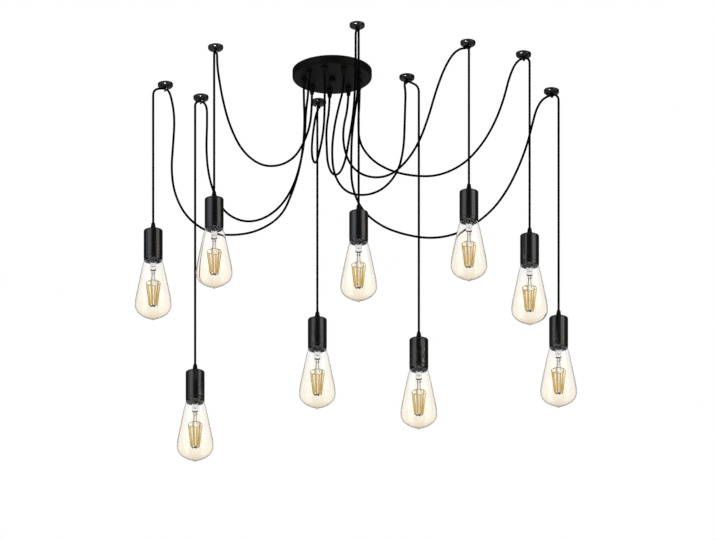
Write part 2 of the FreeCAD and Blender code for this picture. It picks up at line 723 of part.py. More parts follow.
def pendants():
    """Nine lamps: the shared forms, placed under each cord."""
    cup = [socket_cup_form(),
           place(cord_grip("cup_grip", size("cup_height") - "holder_recess" - "holder_height"))]
    grip = cup[1]
    grip.Placement.Rotation = FreeCAD.Rotation(FreeCAD.Vector(1, 0, 0), 180)
    place(grip, z=size("cup_height") + "grip_length")
    holder, glass, core = lamp_holder_form(), bulb_glass_form(), bulb_core_form()
    nodes = []
    for number, pendant in enumerate(PENDANTS, 1):
        x, y, _ = hang_point(number)
        mouth = (size(f"depth_{number}") + "cup_height") * -1
        tip = mouth - "bulb_length"
        nodes += [swag_cord(number, pendant), drop_cord(number),
                  place(group(f"socket_cup_{number}", cup), x, y, mouth),
                  place(group(f"lamp_holder_{number}", holder), x, y, mouth),
                  place(group(f"bulb_glass_{number}", [glass]), x, y, tip),
                  place(group(f"bulb_core_{number}", core), x, y, tip)]
    return nodes


def check(nodes):
    """Every object is computed, and every node's shape is whole."""
    doc.recompute()
    for thing in doc.Objects:
        bad = [s for s in thing.State if s in ("Invalid", "Error")]
        assert not bad, f"{thing.Name}: {bad}"
    for node in nodes:
        assert not node.Shape.isNull() and node.Shape.isValid(), f"{node.Label} is not valid"
        assert node.Shape.Solids, f"{node.Label} has no solid"


def export(nodes):
    os.makedirs("parts", exist_ok=True)
    for node in nodes:
        node.Shape.exportStep(f"parts/{node.Label}.step")
    print(len(nodes), "nodes,", sum(len(n.Shape.Solids) for n in nodes), "solids")


fill_sheet()
NODES = [canopy_cover(), ceiling_bracket(), canopy_knob(), cord_grips(), canopy_wiring(),
         ceiling_hooks()] + pendants()
check(NODES)
export(NODES)
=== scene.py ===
import math
import bmesh
import bpy
from mathutils import Matrix, Vector


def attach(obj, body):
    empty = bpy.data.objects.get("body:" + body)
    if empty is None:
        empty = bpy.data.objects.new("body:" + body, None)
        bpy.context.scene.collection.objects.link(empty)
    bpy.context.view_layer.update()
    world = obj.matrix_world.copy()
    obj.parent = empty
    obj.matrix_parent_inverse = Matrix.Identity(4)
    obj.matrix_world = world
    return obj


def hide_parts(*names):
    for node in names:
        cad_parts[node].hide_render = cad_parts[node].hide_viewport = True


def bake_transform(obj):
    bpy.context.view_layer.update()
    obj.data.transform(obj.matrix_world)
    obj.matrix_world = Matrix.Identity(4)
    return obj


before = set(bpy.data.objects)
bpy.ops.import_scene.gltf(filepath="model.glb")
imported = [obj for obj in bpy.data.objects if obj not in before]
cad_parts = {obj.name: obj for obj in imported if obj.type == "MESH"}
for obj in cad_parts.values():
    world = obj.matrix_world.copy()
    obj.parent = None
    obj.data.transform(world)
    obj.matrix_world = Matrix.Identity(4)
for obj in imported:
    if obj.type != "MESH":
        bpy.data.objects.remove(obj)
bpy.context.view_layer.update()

# ---------------------------------------------------------------- studio and camera
# A plain pale floor well below the lamps in a white surround. Tall softboxes stand at
# the left, cool, and at the right, warm, and a small lamp lights the hooks alone. The
# camera stands low in front and looks up, square to the ceiling, as the photo does.
LOOK_UP = math.radians(23.8)
FRAME_WIDTH, CAMERA_BACK = 1.432, 1.3
AIM = Vector((0.0517, 0.0, -0.4354))
LIT_MIDDLE = Vector((0, 0, -0.4))
FLOOR_HALF, FLOOR_DEPTH = 9.0, 1.75


def placed(name, data):
    """A new object in the scene, made of a mesh, a curve, a light or a camera."""
    made = bpy.data.objects.new(name, data)
    bpy.context.scene.collection.objects.link(made)
    return made


floor_mesh = bpy.data.meshes.new("studio_floor")
floor_mesh.from_pydata([(x * FLOOR_HALF, y * FLOOR_HALF, -FLOOR_DEPTH)
                        for x, y in ((-1, -1), (1, -1), (1, 1), (-1, 1))], [], [(0, 1, 2, 3)])
floor = placed("studio_floor", floor_mesh)
floor_paint = bpy.data.materials.new("pale floor paint")
floor_paint.use_nodes = True
floor_finish = floor_paint.node_tree.nodes["Principled BSDF"]
floor_finish.inputs["Base Color"].default_value = (0.86, 0.86, 0.85, 1)
floor_finish.inputs["Roughness"].default_value = 0.9
floor_finish.inputs["Emission Color"].default_value = (1.0, 1.0, 0.96, 1)
floor_finish.inputs["Emission Strength"].default_value = 0.42
floor_mesh.materials.append(floor_paint)

surround = bpy.data.worlds.new("white surround")
bpy.context.scene.world = surround
surround.use_nodes = True
sky = surround.node_tree
sky.nodes.clear()
out = sky.nodes.new("ShaderNodeOutputWorld")
mixed = sky.nodes.new("ShaderNodeMixShader")
seen, cast = sky.nodes.new("ShaderNodeBackground"), sky.nodes.new("ShaderNodeBackground")
seen.inputs["Color"].default_value = (1, 1, 1, 1)
seen.inputs["Strength"].default_value = 1.0
cast.inputs["Color"].default_value = (0.95, 0.97, 1, 1)
cast.inputs["Strength"].default_value = 0.09
rays = sky.nodes.new("ShaderNodeLightPath")
either = sky.nodes.new("ShaderNodeMath")
either.operation = "MAXIMUM"
sky.links.new(rays.outputs["Is Camera Ray"], either.inputs[0])
sky.links.new(rays.outputs["Is Transmission Ray"], either.inputs[1])
sky.links.new(either.outputs[0], mixed.inputs[0])
sky.links.new(cast.outputs[0], mixed.inputs[1])
sky.links.new(seen.outputs[0], mixed.inputs[2])
sky.links.new(mixed.outputs[0], out.inputs["Surface"])


def softbox(name, azimuth, distance, height, size, power, tint):
    """A soft light, aimed at the lamps, at an azimuth from the camera's side (degrees)."""
    lamp = bpy.data.lights.new(name, "AREA")
    lamp.shape = "RECTANGLE"
    lamp.size, lamp.size_y = size
    lamp.energy = power
    lamp.color = tint
    box = placed(name, lamp)
    turn = math.radians(azimuth)
    spot = Vector((math.sin(turn) * distance, -math.cos(turn) * distance, height))
    facing = (LIT_MIDDLE - spot).to_track_quat("-Z", "Y").to_matrix().to_4x4()
    box.matrix_world = Matrix.Translation(spot) @ facing
    return box


softbox("left softbox", -49, 3.0, 0.75, (2.0, 2.6), 32, (0.9, 0.93, 1.0))
softbox("left fill", -78, 3.0, 0.75, (1.6, 2.6), 11, (0.92, 0.95, 1.0))
softbox("right softbox", 57, 3.0, 0.75, (2.2, 2.6), 46, (1.0, 0.98, 0.92))
glint = softbox("glint lamp", -18, 1.7, -0.25, (0.4, 0.4), 330, (1.0, 1.0, 1.0))
glossy_pieces = bpy.data.collections.new("glossy pieces")
glint.light_linking.receiver_collection = glossy_pieces

camera_data = bpy.data.cameras.new("camera")
camera_data.type = "ORTHO"
camera_data.ortho_scale = FRAME_WIDTH
camera_data.clip_end = 20
camera = placed("camera", camera_data)
sight = Vector((0, math.cos(LOOK_UP), math.sin(LOOK_UP)))
camera.location = AIM - sight * CAMERA_BACK
camera.rotation_euler = (math.pi / 2 + LOOK_UP, 0, 0)
bpy.context.scene.camera = camera
bpy.context.scene.view_settings.view_transform = "Standard"

# ---------------------------------------------------------------- cords
# Nine round black cords in a smooth plastic sheath, 4.6 mm thick. Each leaves a grip
# in the canopy, swags down, goes up over its ceiling hook and hangs straight into
# its socket.
CORD_RADIUS, CORD_PLAY = 0.0023, 0.0003
GRIP_CIRCLE = 0.057
HOOK_TOP = -0.0115  # the middle of the cord where it lies over the hook
CORD_START, FIRST_BEND, SOCKET_BITE = 0.0105, 0.056, 0.015
# In degrees and millimetres: where the grip is on its circle, the hook seen from above,
# the way the cord lies over it, how far it bends to each side, how far out and how deep
# it turns down to hang, and how deep the top of the cup hangs.
LAMPS = {
    1: {"grip": 175, "hook": (-333.5, 63.4), "over": 210, "bend": 8.0, "reach": 28.2,
        "turn_depth": 20.0, "cup_top": 328.0},
    2: {"grip": 215, "hook": (-262.3, 126.4), "over": 200, "bend": 12.5, "reach": 12.5,
        "turn_depth": 11.5, "cup_top": 605.0},
    3: {"grip": 135, "hook": (-233.0, -122.4), "over": 240, "bend": 6.0, "reach": 6.0,
        "turn_depth": 11.5, "cup_top": 337.0},
    4: {"grip": 255, "hook": (-27.1, 148.7), "over": 115, "bend": 6.0, "reach": 6.0,
        "turn_depth": 11.5, "cup_top": 476.0},
    5: {"grip": 95, "hook": (50.0, -232.9), "over": -60, "bend": 6.0, "reach": 6.0,
        "turn_depth": 11.5, "cup_top": 415.0},
    6: {"grip": 295, "hook": (149.5, 25.8), "over": 20, "bend": 6.0, "reach": 25.4,
        "turn_depth": 19.0, "cup_top": 573.0},
    7: {"grip": 55, "hook": (271.5, -144.7), "over": -70, "bend": 6.0, "reach": 6.0,
        "turn_depth": 11.5, "cup_top": 331.0},
    8: {"grip": 15, "hook": (382.7, -87.7), "over": -25, "bend": 13.5, "reach": 13.5,
        "turn_depth": 11.5, "cup_top": 402.0},
    9: {"grip": 335, "hook": (438.6, 95.1), "over": -30, "bend": 16.5, "reach": 16.5,
        "turn_depth": 11.5, "cup_top": 502.5},
}
# Points of each swag in millimetres, set to follow the photo.
SWAGS = {
    1: [(-55, 5, -104), (-57, 5, -155), (-64, 7, -206), (-78, 10, -257), (-100, 17, -310),
        (-147, 27, -339), (-200, 38, -344), (-249, 49, -332), (-291, 59, -295), (-315, 64, -243),
        (-322, 66, -188), (-318, 65, -132), (-315, 65, -80), (-319, 66, -42)],
    2: [(-53, -28, -104), (-54, -26, -150), (-61, -21, -202), (-76, -10, -255), (-102, 13, -291),
        (-138, 41, -307), (-176, 71, -300), (-212, 98, -270), (-235, 118, -222),
        (-248, 128, -168), (-252, 131, -113), (-250, 131, -58)],
    3: [(-44, 37, -104), (-57, 28, -146), (-76, 12, -186), (-107, -14, -215), (-144, -45, -227),
        (-180, -73, -208), (-204, -95, -165), (-218, -108, -116), (-226, -115, -70),
        (-230, -117, -38)],
    4: [(-15, -50, -104), (-17, -36, -148), (-26, -2, -182), (-33, 42, -186), (-40, 83, -156),
        (-41, 112, -113), (-37, 131, -67), (-33, 141, -35)],
    5: [(-12, 52, -104), (-11, 42, -150), (-9, 20, -196), (1, -14, -235), (16, -55, -249),
        (27, -103, -240), (34, -148, -213), (43, -185, -171), (46, -211, -122), (47, -222, -77),
        (47, -226, -38)],
    6: [(13, -58, -104), (4, -64, -152), (-1, -67, -204), (3, -63, -255), (26, -50, -288),
        (66, -25, -285), (104, -1, -259), (132, 16, -214), (143, 24, -161), (145, 24, -110),
        (146, 24, -66), (147, 24, -38)],
    7: [(21, 54, -104), (24, 53, -152), (41, 40, -197), (74, 14, -228), (114, -16, -238),
        (147, -42, -220), (174, -64, -185), (193, -79, -135), (207, -91, -86), (223, -105, -44),
        (240, -119, -17), (255, -130, -9)],
    8: [(52, 16, -104), (54, 15, -152), (80, 8, -193), (117, -4, -221), (164, -19, -239),
        (214, -34, -245), (264, -49, -226), (301, -61, -187), (327, -68, -140), (344, -74, -92),
        (355, -79, -45)],
    9: [(45, -26, -104), (39, -29, -158), (38, -29, -212), (39, -27, -265), (58, -21, -313),
        (97, -8, -343), (145, 8, -355), (196, 25, -356), (244, 41, -341), (286, 56, -311),
        (323, 68, -272), (351, 78, -225), (373, 86, -173), (390, 92, -121), (400, 96, -76),
        (409, 99, -37)],
}


def on_circle(degrees, radius, height=0.0):
    """A point on a circle about Z."""
    turn = math.radians(degrees)
    return Vector((math.cos(turn) * radius, math.sin(turn) * radius, height))


def hook_spot(lamp):
    """The middle of a lamp's ceiling hook."""
    return Vector((*lamp["hook"], 0)) / 1000


def hang_spot(lamp, depth=0.0):
    """A point on the line that a lamp hangs on, at a depth below the ceiling."""
    return hook_spot(lamp) + on_circle(lamp["over"], lamp["reach"] / 1000, -depth)


def cord_route(number):
    """The points that a cord is drawn through, from the canopy to its socket."""
    lamp = LAMPS[number]
    bend, turned_down = lamp["bend"] / 1000, lamp["turn_depth"] / 1000
    over, top = on_circle(lamp["over"], bend), hook_spot(lamp) + Vector((0, 0, HOOK_TOP))
    route = [on_circle(lamp["grip"], GRIP_CIRCLE, -depth) for depth in (CORD_START, FIRST_BEND)]
    route += [Vector(spot) / 1000 for spot in SWAGS[number]]
    route += [top - over, top + over]
    if lamp["reach"] != lamp["bend"]:
        route.append(hang_spot(lamp, turned_down))
    return route + [hang_spot(lamp, turned_down + max(0.025, bend * 2)),
                    hang_spot(lamp, lamp["cup_top"] / 1000 + SOCKET_BITE)]


def drawn_line(name, route):
    """The smooth line of a cord, as points read from its spline."""
    curve = bpy.data.curves.new(name, "CURVE")
    curve.dimensions = "3D"
    curve.resolution_u = 16
    spline = curve.splines.new("NURBS")
    spline.points.add(len(route) - 1)
    for point, spot in zip(spline.points, route):
        point.co = (*spot, 1)
    spline.order_u = 3
    spline.use_endpoint_u = True
    holder = placed(name, curve)
    bpy.context.view_layer.update()
    line = bpy.data.meshes.new_from_object(holder)
    spots = [v.co.copy() for v in line.vertices]
    bpy.data.meshes.remove(line)
    bpy.data.objects.remove(holder)
    return spots


def sheathed_tube(name, spots, radius, sides=12):
    """A closed tube along a line, with a map whose U runs along it in metres."""
    mesh = bpy.data.meshes.new(name)
    form = bmesh.new()
    across = Vector((1, 0, 0))
    rings, runs, gone = [], [], 0.0
    for k, spot in enumerate(spots):
        ahead = (spots[min(k + 1, len(spots) - 1)] - spots[max(k - 1, 0)]).normalized()
        across = (across - ahead * across.dot(ahead)).normalized()
        up = ahead.cross(across)
        gone += (spot - spots[k - 1]).length if k else 0
        runs.append(gone)
        rings.append([form.verts.new(spot + (across * math.cos(a) + up * math.sin(a)) * radius)
                      for a in (2 * math.pi * s / sides for s in range(sides))])
    chart = form.loops.layers.uv.new("along")
    for k in range(len(rings) - 1):
        for s in range(sides):
            n = (s + 1) % sides
            face = form.faces.new((rings[k][s], rings[k][n], rings[k + 1][n], rings[k + 1][s]))
            face.smooth = True
            for loop, (u, v) in zip(face.loops, ((runs[k], s), (runs[k], s + 1),
                                                 (runs[k + 1], s + 1), (runs[k + 1], s))):
                loop[chart].uv = (u, v / sides)
    form.faces.new(list(reversed(rings[0])))
    form.faces.new(rings[-1])
    form.to_mesh(mesh)
    form.free()
    return placed(name, mesh)


def finish_named(name):
    """A new material, with its node tree and its main shader."""
    material = bpy.data.materials.new(name)
    material.use_nodes = True
    tree = material.node_tree
    return material, tree, tree.nodes["Principled BSDF"]


def uneven(tree, source, scale, low, high, detail=3.0):
    """Soft noise on a surface, between two values."""
    noise = tree.nodes.new("ShaderNodeTexNoise")
    noise.inputs["Scale"].default_value = scale
    noise.inputs["Detail"].default_value = detail
    tree.links.new(source, noise.inputs["Vector"])
    spread = tree.nodes.new("ShaderNodeMapRange")
    spread.inputs["From Min"].default_value = 0.3
    spread.inputs["From Max"].default_value = 0.7
    spread.inputs["To Min"].default_value = low
    spread.inputs["To Max"].default_value = high
    tree.links.new(noise.outputs["Fac"], spread.inputs["Value"])
    return spread.outputs["Result"]


def raised(tree, shader, height, distance, strength=1.0):
    """Joins a height to a shader's normal."""
    bump = tree.nodes.new("ShaderNodeBump")
    bump.inputs["Distance"].default_value = distance
    bump.inputs["Strength"].default_value = strength
    tree.links.new(height, bump.inputs["Height"])
    tree.links.new(bump.outputs["Normal"], shader.inputs["Normal"])


def toned(tree, shader, fac, dark, light):
    """Joins a colour between two tones to a shader's base colour."""
    ramp = tree.nodes.new("ShaderNodeValToRGB")
    ramp.color_ramp.elements[0].color = (*dark, 1)
    ramp.color_ramp.elements[1].color = (*light, 1)
    tree.links.new(fac, ramp.inputs["Fac"])
    tree.links.new(ramp.outputs["Color"], shader.inputs["Base Color"])


sheath, tree, skin = finish_named("black cord sheath")
along = tree.nodes.new("ShaderNodeUVMap")
along.uv_map = "along"
toned(tree, skin, uneven(tree, along.outputs["UV"], 60, 0, 1), (0.001, 0.001, 0.001),
      (0.002, 0.002, 0.0022))
tree.links.new(uneven(tree, along.outputs["UV"], 40, 0.5, 0.62), skin.inputs["Roughness"])
raised(tree, skin, uneven(tree, along.outputs["UV"], 300, 0, 1), 0.00002, 0.2)
skin.inputs["Specular IOR Level"].default_value = 0.02

for number, lamp in LAMPS.items():
    spots = drawn_line(f"cord_line_{number}", cord_route(number))
    cord = sheathed_tube(f"cord_{number}", spots, CORD_RADIUS)
    cord.data.materials.append(sheath)
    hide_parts(f"swag_cord_{number}", f"drop_cord_{number}")
    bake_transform(cord)
    turn = math.radians(lamp["grip"])

# ---------------------------------------------------------------- ceiling canopy
# A shallow round pan, spun from 1.2 mm steel and coated in satin black enamel, with
# a rolled lower edge. It hangs on the bracket's stud, its open rim on the ceiling.
CANOPY_RADIUS, CANOPY_HEIGHT, CANOPY_WALL, CANOPY_EDGE = 0.0795, 0.017, 0.0012, 0.004
UNDERSIDE, PAN_INSIDE = -CANOPY_HEIGHT, CANOPY_WALL - CANOPY_HEIGHT
STUD_HOLE, RIM_BEVEL = 0.0033, 0.0002


def turned(name, outline, sides=64, sharp=40, marks=None):
    """A closed piece turned on a lathe about Z, from an outline of radius and height;
    marks gives each point of the outline a value that the material can read."""
    mesh = bpy.data.meshes.new(name)
    form = bmesh.new()
    layer = form.verts.layers.float.new("depth") if marks else None
    rings = []
    for k, (radius, height) in enumerate(outline):
        if radius < 1e-7:
            ring = [form.verts.new((0, 0, height))]
        else:
            ring = [form.verts.new((math.cos(a) * radius, math.sin(a) * radius, height))
                    for a in (2 * math.pi * s / sides for s in range(sides))]
        if marks:
            for vert in ring:
                vert[layer] = marks[k]
        rings.append(ring)
    loops = list(zip(rings, rings[1:]))
    if len(rings[0]) > 1 and len(rings[-1]) > 1:
        loops.append((rings[-1], rings[0]))
    for low, high in loops:
        for s in range(sides):
            n = (s + 1) % sides
            corners = [low[s % len(low)], low[n % len(low)],
                       high[n % len(high)], high[s % len(high)]]
            corners = list(dict.fromkeys(corners))
            if len(corners) > 2:
                form.faces.new(corners).smooth = True
    bmesh.ops.recalc_face_normals(form, faces=form.faces)
    form.to_mesh(mesh)
    form.free()
    mesh.set_sharp_from_angle(angle=math.radians(sharp))
    return placed(name, mesh)


def object_spots(tree):
    """The surface's own coordinates, in metres."""
    return tree.nodes.new("ShaderNodeTexCoord").outputs["Object"]


enamel, tree, coat = finish_named("satin black enamel")
where = object_spots(tree)
toned(tree, coat, uneven(tree, where, 45, 0, 1), (0.003, 0.003, 0.003), (0.0055, 0.0055, 0.005))
tree.links.new(uneven(tree, where, 120, 0.4, 0.5), coat.inputs["Roughness"])
raised(tree, coat, uneven(tree, where, 900, 0, 1, 2.0), 0.00004, 0.4)
coat.inputs["Specular IOR Level"].default_value = 0.05

quarter_turn = [math.pi / 2 * k / 8 for k in range(9)]
outer_roll, inner_roll = (
    [(CANOPY_RADIUS - CANOPY_EDGE + radius * math.sin(a),
      UNDERSIDE + CANOPY_EDGE - radius * math.cos(a)) for a in quarter_turn]
    for radius in (CANOPY_EDGE, CANOPY_EDGE - CANOPY_WALL))
outer, inner = CANOPY_RADIUS, CANOPY_RADIUS - CANOPY_WALL
rim = [(outer, -RIM_BEVEL), (outer - RIM_BEVEL, 0), (inner + RIM_BEVEL, 0), (inner, -RIM_BEVEL)]
canopy = turned("canopy_pan", [(STUD_HOLE, UNDERSIDE)] + outer_roll + rim + inner_roll[::-1]
                + [(STUD_HOLE, PAN_INSIDE)], sides=128)
canopy.data.materials.append(enamel)
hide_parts("canopy_cover")
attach(canopy, "ceiling_set")

# ---------------------------------------------------------------- bracket and wiring
# Hidden in the canopy: a zinc-plated steel strap with two slots for the ceiling
# screws, and a cream terminal block with one insulated lead pair for each cord.


def repainted(node, finish):
    """Gives a piece that is shown as the CAD has it a finish of its own."""
    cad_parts[node].data.materials.clear()
    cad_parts[node].data.materials.append(finish)


zinc, tree, plate = finish_named("zinc plated steel")
where = object_spots(tree)
toned(tree, plate, uneven(tree, where, 150, 0, 1, 6.0), (0.38, 0.38, 0.37), (0.56, 0.56, 0.55))
tree.links.new(uneven(tree, where, 260, 0.3, 0.5), plate.inputs["Roughness"])
raised(tree, plate, uneven(tree, where, 1500, 0, 1), 0.00004, 0.5)
plate.inputs["Metallic"].default_value = 1.0
repainted("ceiling_bracket", zinc)

insulation, tree, cream = finish_named("cream insulation")
where = object_spots(tree)
toned(tree, cream, uneven(tree, where, 90, 0, 1), (0.62, 0.58, 0.49), (0.72, 0.69, 0.6))
tree.links.new(uneven(tree, where, 200, 0.4, 0.6), cream.inputs["Roughness"])
raised(tree, cream, uneven(tree, where, 700, 0, 1), 0.00005, 0.4)
repainted("canopy_wiring", insulation)

# ---------------------------------------------------------------- cap nut
# A round black cap nut closes the canopy's centre and screws on to the stud that
# comes down from the bracket. Steel, enamelled like the canopy.
KNOB_RADIUS, KNOB_HEIGHT, KNOB_DOME, STUD_RADIUS = 0.007, 0.009, 0.0045, 0.003
dome = [(KNOB_RADIUS * math.sin(a), UNDERSIDE - KNOB_HEIGHT + KNOB_DOME * (1 - math.cos(a)))
        for a in quarter_turn]
groove = [(KNOB_RADIUS, UNDERSIDE - 0.0014), (KNOB_RADIUS - 0.0004, UNDERSIDE - 0.001),
          (KNOB_RADIUS, UNDERSIDE - 0.0006), (KNOB_RADIUS, UNDERSIDE)]
stud = [(STUD_RADIUS, UNDERSIDE), (STUD_RADIUS, -0.0012), (STUD_RADIUS - 0.0004, -0.001),
        (0, -0.001)]
nut = turned("cap_nut", dome + groove + stud, sides=48)
nut.data.materials.append(enamel)
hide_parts("canopy_knob")
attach(nut, "ceiling_set")

# ---------------------------------------------------------------- canopy cord grips
# Nine black nylon cord grips, equally spaced near the canopy's edge. Each is a taper
# with four slots that its thread closes on the cord, locked by a nut inside the pan.
GRIP_LENGTH, GRIP_BASE, GRIP_TIP, GRIP_BORE = 0.017, 0.0065, 0.0037, 0.00242
SHANK_RADIUS, SHANK_LENGTH, THREAD_DEPTH, THREAD_STEP = 0.005, 0.0065, 0.0004, 0.0006
NUT_RADIUS, NUT_BORE, NUT_HEIGHT, NUT_BEVEL = 0.0076, 0.0058, 0.003, 0.0005


def node_tree(name, inputs):
    """A geometry tree with a shape going in, a shape coming out, and named sizes."""
    tree = bpy.data.node_groups.new(name, "GeometryNodeTree")
    tree.interface.new_socket("Shape", in_out="INPUT", socket_type="NodeSocketGeometry")
    for label, kind, value in inputs:
        socket = tree.interface.new_socket(label, in_out="INPUT", socket_type=kind)
        if value is not None:
            socket.default_value = value
    tree.interface.new_socket("Shape", in_out="OUTPUT", socket_type="NodeSocketGeometry")
    return tree, tree.nodes.new("NodeGroupInput"), tree.nodes.new("NodeGroupOutput")


def step(tree, kind, **links):
    """Adds a node and joins sockets or sets values on its inputs, by their names."""
    node = tree.nodes.new(kind)
    for name, value in links.items():
        socket = node.inputs[name.replace("_", " ")]
        if isinstance(value, bpy.types.NodeSocket):
            tree.links.new(value, socket)
        else:
            socket.default_value = value
    return node


def grown(piece, tree, **values):
    """Runs a geometry tree on a piece, sets its named inputs, and keeps a plain mesh."""
    made = piece.modifiers.new(tree.name, "NODES")
    made.node_group = tree
    for item in tree.interface.items_tree:
        if item.in_out == "INPUT" and item.name.replace(" ", "_") in values:
            made[item.identifier] = values[item.name.replace(" ", "_")]
    bpy.context.view_layer.update()
    seen = piece.evaluated_get(bpy.context.evaluated_depsgraph_get())
    mesh = bpy.data.meshes.new_from_object(seen)
    form = bmesh.new()
    form.from_mesh(mesh)
    bmesh.ops.remove_doubles(form, verts=form.verts, dist=1e-6)
    bmesh.ops.recalc_face_normals(form, faces=form.faces)
    form.to_mesh(mesh)
    form.free()
    piece.modifiers.clear()
    piece.data = mesh
    mesh.name = piece.name
    return piece


def round_the_axis(name):
    """Geometry tree: copies of a shape, equally spaced on a circle about Z."""
    tree, given, made = node_tree(name, [
        ("Count", "NodeSocketInt", 9), ("Circle", "NodeSocketFloat", 0.0),
        ("First angle", "NodeSocketFloat", 0.0), ("Finish", "NodeSocketMaterial", None)])
    points = step(tree, "GeometryNodeMeshLine", Count=given.outputs["Count"], Offset=(0, 0, 0))
    order = tree.nodes.new("GeometryNodeInputIndex")
    share = step(tree, "ShaderNodeMath")
    share.operation = "DIVIDE"
    tree.links.new(order.outputs[0], share.inputs[0])
    tree.links.new(given.outputs["Count"], share.inputs[1])
    angle = step(tree, "ShaderNodeMath")
    angle.operation = "MULTIPLY_ADD"
    tree.links.new(share.outputs[0], angle.inputs[0])
    angle.inputs[1].default_value = 2 * math.pi
    tree.links.new(given.outputs["First angle"], angle.inputs[2])
    out = step(tree, "ShaderNodeCombineXYZ", X=given.outputs["Circle"])
    moved = step(tree, "GeometryNodeTransform", Geometry=given.outputs["Shape"],
                 Translation=out.outputs[0])
    spin = step(tree, "ShaderNodeCombineXYZ", Z=angle.outputs[0])
    copies = step(tree, "GeometryNodeInstanceOnPoints", Points=points.outputs["Mesh"],
                  Instance=moved.outputs["Geometry"], Rotation=spin.outputs[0])
    whole = step(tree, "GeometryNodeRealizeInstances", Geometry=copies.outputs["Instances"])
    painted = step(tree, "GeometryNodeSetMaterial", Geometry=whole.outputs["Geometry"],
                   Material=given.outputs["Finish"])
    tree.links.new(painted.outputs["Geometry"], made.inputs["Shape"])
    return tree


def grip_quarter(name, turned_up):
    """A quarter of a slotted grip: one of its four fingers and the ring behind it."""
    form = bmesh.new()
    sign = -1 if turned_up else 1
    half_slot, slot_end, steps = 0.0005, 0.0118, 8
    rounding, taper, collar = 0.0010, 0.0122, 0.0008
    levels = [(GRIP_TIP - 0.0006, 0.0), (GRIP_TIP - 0.0001, 0.0004),
              (GRIP_TIP + 0.0001, rounding)]
    levels += [(GRIP_TIP + (GRIP_BASE - collar - GRIP_TIP) * t, rounding + taper * t)
               for t in (0.25, 0.5, 0.75, 1.0)]
    levels += [(GRIP_BASE - 0.0002, 0.0138), (GRIP_BASE, 0.0143),
               (GRIP_BASE, GRIP_LENGTH - 0.0003), (GRIP_BASE - 0.0003, GRIP_LENGTH)]
    outer, inner = [], []
    for radius, height in levels:
        for row, size in ((outer, radius), (inner, GRIP_BORE)):
            edge = math.asin(half_slot / size) if height < slot_end else 0.0
            row.append([form.verts.new((math.cos(a) * size, math.sin(a) * size, height * sign))
                        for a in (edge + (math.pi / 2 - 2 * edge) * k / steps
                                  for k in range(steps + 1))])
    for row in (outer, inner):
        for low, high in zip(row, row[1:]):
            for k in range(steps):
                form.faces.new((low[k], low[k + 1], high[k + 1], high[k])).smooth = True
    for a, b in ((outer[0], inner[0]), (outer[-1], inner[-1])):
        for k in range(steps):
            form.faces.new((a[k], a[k + 1], b[k + 1], b[k]))
    for end in (0, -1):
        for k in range(len(levels) - 1):
            if levels[k][1] < slot_end:
                form.faces.new((outer[k][end], outer[k + 1][end],
                                inner[k + 1][end], inner[k][end]))
    bmesh.ops.recalc_face_normals(form, faces=form.faces)
    mesh = bpy.data.meshes.new(name)
    form.to_mesh(mesh)
    form.free()
    mesh.set_sharp_from_angle(angle=math.radians(35))
    return placed(name, mesh)


def joined(name, pieces):
    """One mesh from several pieces, each given with its material."""
    form, mesh = bmesh.new(), bpy.data.meshes.new(name)
    finishes = []
    for piece, finish in pieces:
        if finish not in finishes:
            finishes.append(finish)
            mesh.materials.append(finish)
        before = len(form.faces)
        form.from_mesh(piece.data)
        form.faces.ensure_lookup_table()
        for face in form.faces[before:]:
            face.material_index = finishes.index(finish)
    form.to_mesh(mesh)
    form.free()
    return mesh


nylon, tree, shell = finish_named("black nylon")
where = object_spots(tree)
toned(tree, shell, uneven(tree, where, 200, 0, 1), (0.002, 0.002, 0.002), (0.004, 0.004, 0.004))
tree.links.new(uneven(tree, where, 400, 0.36, 0.5), shell.inputs["Roughness"])
raised(tree, shell, uneven(tree, where, 1800, 0, 1), 0.00003, 0.4)
shell.inputs["Specular IOR Level"].default_value = 0.12

all_round = round_the_axis("copies round an axis")
grips = grown(grip_quarter("canopy_grips", False), all_round, Count=4, Circle=0.0,
              First_angle=0.0, Finish=nylon)
grips.data.transform(Matrix.Translation((0, 0, UNDERSIDE - GRIP_LENGTH)))
ridges = [(SHANK_RADIUS - THREAD_DEPTH * (k % 2), UNDERSIDE + THREAD_STEP * k)
          for k in range(1, 11)]
low, high, neck = UNDERSIDE + 0.0001, UNDERSIDE + SHANK_LENGTH, SHANK_RADIUS - 0.0005
shank = turned("grip_shank", [(GRIP_BORE, low), (neck, low)] + ridges
               + [(neck, high), (GRIP_BORE, high)], sides=32, sharp=20)
low, high, face = PAN_INSIDE, PAN_INSIDE + NUT_HEIGHT, NUT_RADIUS - NUT_BEVEL
nut = turned("lock_nut", [(NUT_BORE, low), (face, low), (NUT_RADIUS, low + NUT_BEVEL),
                          (NUT_RADIUS, high - NUT_BEVEL), (face, high), (NUT_BORE, high)],
             sides=6, sharp=20)
grips.data = joined("canopy_grip", ((grips, nylon), (shank, nylon), (nut, nylon)))
bpy.data.objects.remove(shank)
bpy.data.objects.remove(nut)
grips = grown(grips, all_round, Count=9, Circle=GRIP_CIRCLE,
              First_angle=math.radians(15), Finish=nylon)
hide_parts("cord_grips")
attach(grips, "ceiling_set")

# ---------------------------------------------------------------- ceiling hooks
# Nine ceiling hooks in gloss black enamel: a domed disc, fixed to the ceiling by a
# screw from above, with a bent steel wire hook under it that the cord lies over.
DISC_RADIUS, DISC_HEIGHT, DISC_FLAT, DISC_RIM = 0.0153, 0.009, 0.009, 0.0045
HOOK_WIRE, HOOK_BOWL, HOOK_TURN = 0.0015, 0.0055, math.radians(132)
SCREW_RADIUS, SCREW_DEPTH = 0.0021, 0.006

